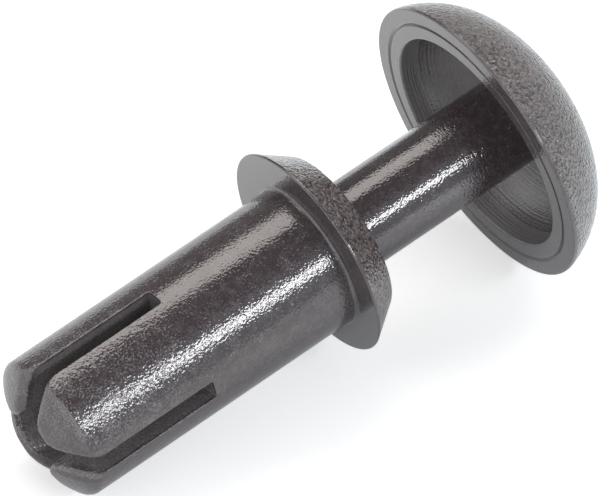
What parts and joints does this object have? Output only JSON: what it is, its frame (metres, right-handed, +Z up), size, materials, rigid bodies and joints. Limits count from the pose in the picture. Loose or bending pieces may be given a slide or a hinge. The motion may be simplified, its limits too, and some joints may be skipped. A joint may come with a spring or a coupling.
{
  "type": "expanding rivet",
  "caption": "Black plastic expanding rivet: a dome-headed push pin part way into a slotted sleeve with a conical collar. Pressing the pin home spreads the legs behind a panel.",
  "frame": {"origin": "on the surface it lies on, below the middle of its box; it rests on the head's rim and the ends of the legs", "axes": "+Z up; +X towards the head, along the rivet's axis, which rises to the head by 8.4 degrees"},
  "size_m": [0.0166, 0.008, 0.0079],
  "materials": {
    "black_nylon": "semi-gloss moulded nylon, with a fine grain on the dome and the collar"
  },
  "bodies": {
    "sleeve": {"expanding_sleeve": "black_nylon"},
    "pin": {"push_pin": "black_nylon"}
  },
  "joints": [
    {"name": "pin_slide", "type": "slide", "parent": "sleeve", "child": "pin", "axis": [0.9892, 0, 0.1466], "range_m": [-0.00542, 0], "deforming": ["expanding_sleeve"]}
  ]
}
